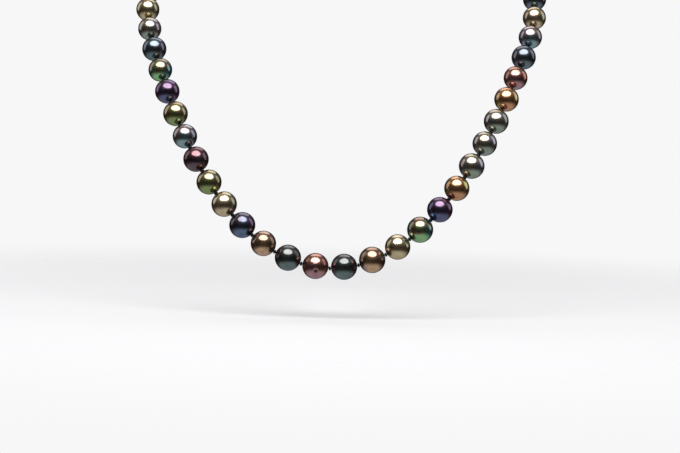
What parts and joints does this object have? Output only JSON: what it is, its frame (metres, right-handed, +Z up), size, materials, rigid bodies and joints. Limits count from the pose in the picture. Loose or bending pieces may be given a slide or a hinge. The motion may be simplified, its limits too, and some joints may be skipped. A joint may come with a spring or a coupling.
{
  "type": "pearl necklace",
  "caption": "Knotted strand of dark multicolour drilled pearls on black silk, draped as worn, closed at the nape by a magnetic ball clasp that opens.",
  "frame": {"origin": "middle of the closed clasp, at the wearer's nape", "axes": "+X to the right as seen from the front, +Y towards the back, +Z up; the front of the strand hangs at -Y and -Z"},
  "size_m": [0.1562, 0.0928, 0.1413],
  "materials": {
    "pearl_copper_rose": "polished, high pearl lustre",
    "pearl_black_green": "polished, high pearl lustre",
    "pearl_bronze": "polished, high pearl lustre",
    "pearl_midnight": "polished, high pearl lustre",
    "pearl_champagne": "polished, high pearl lustre",
    "pearl_olive_gold": "polished, high pearl lustre",
    "pearl_black_cherry": "polished, high pearl lustre",
    "pearl_silver_mauve": "polished, high pearl lustre",
    "pearl_aubergine": "polished, high pearl lustre",
    "pearl_peacock": "polished, high pearl lustre",
    "pearl_slate": "polished, high pearl lustre",
    "pearl_silver_green": "polished, high pearl lustre",
    "pearl_copper_gold": "polished, high pearl lustre",
    "silk": "twisted black silk cord",
    "french_wire": "bright silver-coloured coiled wire",
    "clasp_metal": "polished rhodium-coloured silver",
    "magnet": "nickel-plated disc magnet"
  },
  "bodies": {
    "nape_left": {"silk_nape_left": "silk", "french_wire_left": "french_wire"},
    "side_left": {"silk_side_left": "silk"},
    "front_left": {"silk_front_left": "silk"},
    "front_right": {"silk_front_right": "silk"},
    "side_right": {"silk_side_right": "silk"},
    "nape_right": {"silk_nape_right": "silk", "french_wire_right": "french_wire"},
    "clasp_left": {"clasp_half_left": "clasp_metal", "clasp_magnet_left": "magnet"},
    "clasp_right": {"clasp_half_right": "clasp_metal", "clasp_magnet_right": "magnet"},
    "pearl_left_01": {"pearl_left_01": "pearl_copper_rose"},
    "pearl_left_02": {"pearl_left_02": "pearl_black_green"},
    "pearl_left_03": {"pearl_left_03": "pearl_bronze"},
    "pearl_left_04": {"pearl_left_04": "pearl_midnight"},
    "pearl_left_05": {"pearl_left_05": "pearl_champagne"},
    "pearl_left_06": {"pearl_left_06": "pearl_olive_gold"},
    "pearl_left_07": {"pearl_left_07": "pearl_black_cherry"},
    "pearl_left_08": {"pearl_left_08": "pearl_silver_mauve"},
    "pearl_left_09": {"pearl_left_09": "pearl_olive_gold"},
    "pearl_left_10": {"pearl_left_10": "pearl_aubergine"},
    "pearl_left_11": {"pearl_left_11": "pearl_peacock"},
    "pearl_left_12": {"pearl_left_12": "pearl_slate"},
    "pearl_left_13": {"pearl_left_13": "pearl_silver_green"},
    "pearl_left_14": {"pearl_left_14": "pearl_champagne"},
    "pearl_left_15": {"pearl_left_15": "pearl_copper_gold"},
    "pearl_left_16": {"pearl_left_16": "pearl_black_green"},
    "pearl_left_17": {"pearl_left_17": "pearl_silver_mauve"},
    "pearl_left_18": {"pearl_left_18": "pearl_olive_gold"},
    "pearl_left_19": {"pearl_left_19": "pearl_midnight"},
    "pearl_left_20": {"pearl_left_20": "pearl_bronze"},
    "pearl_left_21": {"pearl_left_21": "pearl_silver_green"},
    "pearl_left_22": {"pearl_left_22": "pearl_peacock"},
    "pearl_left_23": {"pearl_left_23": "pearl_black_cherry"},
    "pearl_left_24": {"pearl_left_24": "pearl_slate"},
    "pearl_right_01": {"pearl_right_01": "pearl_black_green"},
    "pearl_right_02": {"pearl_right_02": "pearl_bronze"},
    "pearl_right_03": {"pearl_right_03": "pearl_champagne"},
    "pearl_right_04": {"pearl_right_04": "pearl_peacock"},
    "pearl_right_05": {"pearl_right_05": "pearl_aubergine"},
    "pearl_right_06": {"pearl_right_06": "pearl_copper_gold"},
    "pearl_right_07": {"pearl_right_07": "pearl_silver_green"},
    "pearl_right_08": {"pearl_right_08": "pearl_silver_green"},
    "pearl_right_09": {"pearl_right_09": "pearl_silver_green"},
    "pearl_right_10": {"pearl_right_10": "pearl_copper_gold"},
    "pearl_right_11": {"pearl_right_11": "pearl_copper_rose"},
    "pearl_right_12": {"pearl_right_12": "pearl_slate"},
    "pearl_right_13": {"pearl_right_13": "pearl_silver_mauve"},
    "pearl_right_14": {"pearl_right_14": "pearl_champagne"},
    "pearl_right_15": {"pearl_right_15": "pearl_slate"},
    "pearl_right_16": {"pearl_right_16": "pearl_olive_gold"},
    "pearl_right_17": {"pearl_right_17": "pearl_bronze"},
    "pearl_right_18": {"pearl_right_18": "pearl_black_green"},
    "pearl_right_19": {"pearl_right_19": "pearl_black_cherry"},
    "pearl_right_20": {"pearl_right_20": "pearl_peacock"},
    "pearl_right_21": {"pearl_right_21": "pearl_silver_mauve"},
    "pearl_right_22": {"pearl_right_22": "pearl_midnight"},
    "pearl_right_23": {"pearl_right_23": "pearl_copper_gold"},
    "pearl_right_24": {"pearl_right_24": "pearl_silver_green"}
  },
  "joints": [
    {"name": "front_lift", "type": "hinge", "parent": "nape_left", "child": "side_left", "pos_m": [-0.07391, -0.03654, -0.03578], "axis": [-1, 0, 0], "range_deg": [0, 35]},
    {"name": "loop_open", "type": "hinge", "parent": "side_left", "child": "front_left", "pos_m": [-0.04189, -0.07716, -0.1076], "axis": [0, 0.8456, -0.5339], "range_deg": [0, 15]},
    {"name": "loop_open_centre", "type": "hinge", "parent": "front_left", "child": "front_right", "pos_m": [0, -0.08402, -0.13307], "axis": [0, 0.8456, -0.5339], "range_deg": [0, 15]},
    {"name": "loop_open_right", "type": "hinge", "parent": "front_right", "child": "side_right", "pos_m": [0.04189, -0.07716, -0.1076], "axis": [0, 0.8456, -0.5339], "range_deg": [0, 15]},
    {"name": "nape_stays_level", "type": "hinge", "parent": "side_right", "child": "nape_right", "pos_m": [0.07391, -0.03654, -0.03578], "axis": [-1, 0, 0], "range_deg": [-35, 0]},
    {"name": "clasp_left_swing", "type": "hinge", "parent": "nape_left", "child": "clasp_left", "pos_m": [-0.00522, 0, 0], "axis": [0, 1, 0], "range_deg": [0, 45]},
    {"name": "clasp_right_swing", "type": "hinge", "parent": "nape_right", "child": "clasp_right", "pos_m": [0.00522, 0, 0], "axis": [0, -1, 0], "range_deg": [0, 45]},
    {"name": "pearl_left_01_spin", "type": "hinge", "parent": "front_left", "child": "pearl_left_01", "pos_m": [-0.00511, -0.08391, -0.13237], "axis": [-0.9904, 0.022, 0.1365], "continuous": true},
    {"name": "pearl_left_02_spin", "type": "hinge", "parent": "front_left", "child": "pearl_left_02", "pos_m": [-0.01503, -0.0834, -0.12969], "axis": [-0.922, 0.0767, 0.3795], "continuous": true},
    {"name": "pearl_left_03_spin", "type": "hinge", "parent": "front_left", "child": "pearl_left_03", "pos_m": [-0.02398, -0.08231, -0.1249], "axis": [-0.8203, 0.1353, 0.5557], "continuous": true},
    {"name": "pearl_left_04_spin", "type": "hinge", "parent": "front_left", "child": "pearl_left_04", "pos_m": [-0.03184, -0.08063, -0.11862], "axis": [-0.7164, 0.1917, 0.6708], "continuous": true},
    {"name": "pearl_left_05_spin", "type": "hinge", "parent": "front_left", "child": "pearl_left_05", "pos_m": [-0.03872, -0.0784, -0.11137], "axis": [-0.6243, 0.2441, 0.7421], "continuous": true},
    {"name": "pearl_left_06_spin", "type": "hinge", "parent": "side_left", "child": "pearl_left_06", "pos_m": [-0.04465, -0.07569, -0.10365], "axis": [-0.5484, 0.292, 0.7835], "continuous": true},
    {"name": "pearl_left_07_spin", "type": "hinge", "parent": "side_left", "child": "pearl_left_07", "pos_m": [-0.04991, -0.07249, -0.09557], "axis": [-0.4858, 0.3371, 0.8065], "continuous": true},
    {"name": "pearl_left_08_spin", "type": "hinge", "parent": "side_left", "child": "pearl_left_08", "pos_m": [-0.05456, -0.06888, -0.08738], "axis": [-0.4346, 0.3793, 0.8169], "continuous": true},
    {"name": "pearl_left_09_spin", "type": "hinge", "parent": "side_left", "child": "pearl_left_09", "pos_m": [-0.05869, -0.06489, -0.0792], "axis": [-0.3926, 0.4191, 0.8186], "continuous": true},
    {"name": "pearl_left_10_spin", "type": "hinge", "parent": "side_left", "child": "pearl_left_10", "pos_m": [-0.06246, -0.06048, -0.07099], "axis": [-0.3573, 0.4575, 0.8143], "continuous": true},
    {"name": "pearl_left_11_spin", "type": "hinge", "parent": "side_left", "child": "pearl_left_11", "pos_m": [-0.06586, -0.05577, -0.06297], "axis": [-0.3278, 0.4938, 0.8054], "continuous": true},
    {"name": "pearl_left_12_spin", "type": "hinge", "parent": "side_left", "child": "pearl_left_12", "pos_m": [-0.06897, -0.0507, -0.05505], "axis": [-0.3012, 0.529, 0.7933], "continuous": true},
    {"name": "pearl_left_13_spin", "type": "hinge", "parent": "side_left", "child": "pearl_left_13", "pos_m": [-0.07162, -0.04527, -0.04724], "axis": [-0.2349, 0.5697, 0.7876], "continuous": true},
    {"name": "pearl_left_14_spin", "type": "hinge", "parent": "side_left", "child": "pearl_left_14", "pos_m": [-0.07334, -0.03952, -0.03959], "axis": [-0.117, 0.6118, 0.7823], "continuous": true},
    {"name": "pearl_left_15_spin", "type": "hinge", "parent": "nape_left", "child": "pearl_left_15", "pos_m": [-0.07369, -0.03336, -0.03202], "axis": [0.0447, 0.6446, 0.7632], "continuous": true},
    {"name": "pearl_left_16_spin", "type": "hinge", "parent": "nape_left", "child": "pearl_left_16", "pos_m": [-0.07236, -0.02707, -0.02484], "axis": [0.2327, 0.6548, 0.7191], "continuous": true},
    {"name": "pearl_left_17_spin", "type": "hinge", "parent": "nape_left", "child": "pearl_left_17", "pos_m": [-0.06917, -0.02088, -0.01829], "axis": [0.4287, 0.6326, 0.645], "continuous": true},
    {"name": "pearl_left_18_spin", "type": "hinge", "parent": "nape_left", "child": "pearl_left_18", "pos_m": [-0.06415, -0.01507, -0.01255], "axis": [0.6137, 0.5733, 0.5428], "continuous": true},
    {"name": "pearl_left_19_spin", "type": "hinge", "parent": "nape_left", "child": "pearl_left_19", "pos_m": [-0.05761, -0.01006, -0.00796], "axis": [0.7664, 0.4823, 0.4243], "continuous": true},
    {"name": "pearl_left_20_spin", "type": "hinge", "parent": "nape_left", "child": "pearl_left_20", "pos_m": [-0.04978, -0.00602, -0.00452], "axis": [0.8794, 0.3687, 0.3012], "continuous": true},
    {"name": "pearl_left_21_spin", "type": "hinge", "parent": "nape_left", "child": "pearl_left_21", "pos_m": [-0.04115, -0.00309, -0.0022], "axis": [0.9499, 0.249, 0.1887], "continuous": true},
    {"name": "pearl_left_22_spin", "type": "hinge", "parent": "nape_left", "child": "pearl_left_22", "pos_m": [-0.03213, -0.00128, -0.00086], "axis": [0.9852, 0.1404, 0.0987], "continuous": true},
    {"name": "pearl_left_23_spin", "type": "hinge", "parent": "nape_left", "child": "pearl_left_23", "pos_m": [-0.02286, -0.00036, -0.00023], "axis": [0.9977, 0.0563, 0.0366], "continuous": true},
    {"name": "pearl_left_24_spin", "type": "hinge", "parent": "nape_left", "child": "pearl_left_24", "pos_m": [-0.01359, -0.00005, -0.00003], "axis": [0.9999, 0.0105, 0.0063], "continuous": true},
    {"name": "pearl_right_01_spin", "type": "hinge", "parent": "front_right", "child": "pearl_right_01", "pos_m": [0.00511, -0.08391, -0.13237], "axis": [0.9904, 0.022, 0.1365], "continuous": true},
    {"name": "pearl_right_02_spin", "type": "hinge", "parent": "front_right", "child": "pearl_right_02", "pos_m": [0.01503, -0.0834, -0.12969], "axis": [0.922, 0.0767, 0.3795], "continuous": true},
    {"name": "pearl_right_03_spin", "type": "hinge", "parent": "front_right", "child": "pearl_right_03", "pos_m": [0.02398, -0.08231, -0.1249], "axis": [0.8203, 0.1353, 0.5557], "continuous": true},
    {"name": "pearl_right_04_spin", "type": "hinge", "parent": "front_right", "child": "pearl_right_04", "pos_m": [0.03184, -0.08063, -0.11862], "axis": [0.7164, 0.1917, 0.6708], "continuous": true},
    {"name": "pearl_right_05_spin", "type": "hinge", "parent": "front_right", "child": "pearl_right_05", "pos_m": [0.03872, -0.0784, -0.11137], "axis": [0.6243, 0.2441, 0.7421], "continuous": true},
    {"name": "pearl_right_06_spin", "type": "hinge", "parent": "side_right", "child": "pearl_right_06", "pos_m": [0.04465, -0.07569, -0.10365], "axis": [0.5484, 0.292, 0.7835], "continuous": true},
    {"name": "pearl_right_07_spin", "type": "hinge", "parent": "side_right", "child": "pearl_right_07", "pos_m": [0.04991, -0.07249, -0.09557], "axis": [0.4858, 0.3371, 0.8065], "continuous": true},
    {"name": "pearl_right_08_spin", "type": "hinge", "parent": "side_right", "child": "pearl_right_08", "pos_m": [0.05456, -0.06888, -0.08738], "axis": [0.4346, 0.3793, 0.8169], "continuous": true},
    {"name": "pearl_right_09_spin", "type": "hinge", "parent": "side_right", "child": "pearl_right_09", "pos_m": [0.05869, -0.06489, -0.0792], "axis": [0.3926, 0.4191, 0.8186], "continuous": true},
    {"name": "pearl_right_10_spin", "type": "hinge", "parent": "side_right", "child": "pearl_right_10", "pos_m": [0.06246, -0.06048, -0.07099], "axis": [0.3573, 0.4575, 0.8143], "continuous": true},
    {"name": "pearl_right_11_spin", "type": "hinge", "parent": "side_right", "child": "pearl_right_11", "pos_m": [0.06586, -0.05577, -0.06297], "axis": [0.3278, 0.4938, 0.8054], "continuous": true},
    {"name": "pearl_right_12_spin", "type": "hinge", "parent": "side_right", "child": "pearl_right_12", "pos_m": [0.06897, -0.0507, -0.05505], "axis": [0.3012, 0.529, 0.7933], "continuous": true},
    {"name": "pearl_right_13_spin", "type": "hinge", "parent": "side_right", "child": "pearl_right_13", "pos_m": [0.07162, -0.04527, -0.04724], "axis": [0.2349, 0.5697, 0.7876], "continuous": true},
    {"name": "pearl_right_14_spin", "type": "hinge", "parent": "side_right", "child": "pearl_right_14", "pos_m": [0.07334, -0.03952, -0.03959], "axis": [0.117, 0.6118, 0.7823], "continuous": true},
    {"name": "pearl_right_15_spin", "type": "hinge", "parent": "nape_right", "child": "pearl_right_15", "pos_m": [0.07369, -0.03336, -0.03202], "axis": [-0.0447, 0.6446, 0.7632], "continuous": true},
    {"name": "pearl_right_16_spin", "type": "hinge", "parent": "nape_right", "child": "pearl_right_16", "pos_m": [0.07236, -0.02707, -0.02484], "axis": [-0.2327, 0.6548, 0.7191], "continuous": true},
    {"name": "pearl_right_17_spin", "type": "hinge", "parent": "nape_right", "child": "pearl_right_17", "pos_m": [0.06917, -0.02088, -0.01829], "axis": [-0.4287, 0.6326, 0.645], "continuous": true},
    {"name": "pearl_right_18_spin", "type": "hinge", "parent": "nape_right", "child": "pearl_right_18", "pos_m": [0.06415, -0.01507, -0.01255], "axis": [-0.6137, 0.5733, 0.5428], "continuous": true},
    {"name": "pearl_right_19_spin", "type": "hinge", "parent": "nape_right", "child": "pearl_right_19", "pos_m": [0.05761, -0.01006, -0.00796], "axis": [-0.7664, 0.4823, 0.4243], "continuous": true},
    {"name": "pearl_right_20_spin", "type": "hinge", "parent": "nape_right", "child": "pearl_right_20", "pos_m": [0.04978, -0.00602, -0.00452], "axis": [-0.8794, 0.3687, 0.3012], "continuous": true},
    {"name": "pearl_right_21_spin", "type": "hinge", "parent": "nape_right", "child": "pearl_right_21", "pos_m": [0.04115, -0.00309, -0.0022], "axis": [-0.9499, 0.249, 0.1887], "continuous": true},
    {"name": "pearl_right_22_spin", "type": "hinge", "parent": "nape_right", "child": "pearl_right_22", "pos_m": [0.03213, -0.00128, -0.00086], "axis": [-0.9852, 0.1404, 0.0987], "continuous": true},
    {"name": "pearl_right_23_spin", "type": "hinge", "parent": "nape_right", "child": "pearl_right_23", "pos_m": [0.02286, -0.00036, -0.00023], "axis": [-0.9977, 0.0563, 0.0366], "continuous": true},
    {"name": "pearl_right_24_spin", "type": "hinge", "parent": "nape_right", "child": "pearl_right_24", "pos_m": [0.01359, -0.00005, -0.00003], "axis": [-0.9999, 0.0105, 0.0063], "continuous": true}
  ],
  "couplings": [
    {"joint": "loop_open_centre", "follows": "loop_open", "ratio": 1},
    {"joint": "loop_open_right", "follows": "loop_open", "ratio": 1},
    {"joint": "clasp_left_swing", "follows": "loop_open", "ratio": 3},
    {"joint": "clasp_right_swing", "follows": "loop_open", "ratio": 3},
    {"joint": "nape_stays_level", "follows": "front_lift", "ratio": -1}
  ]
}
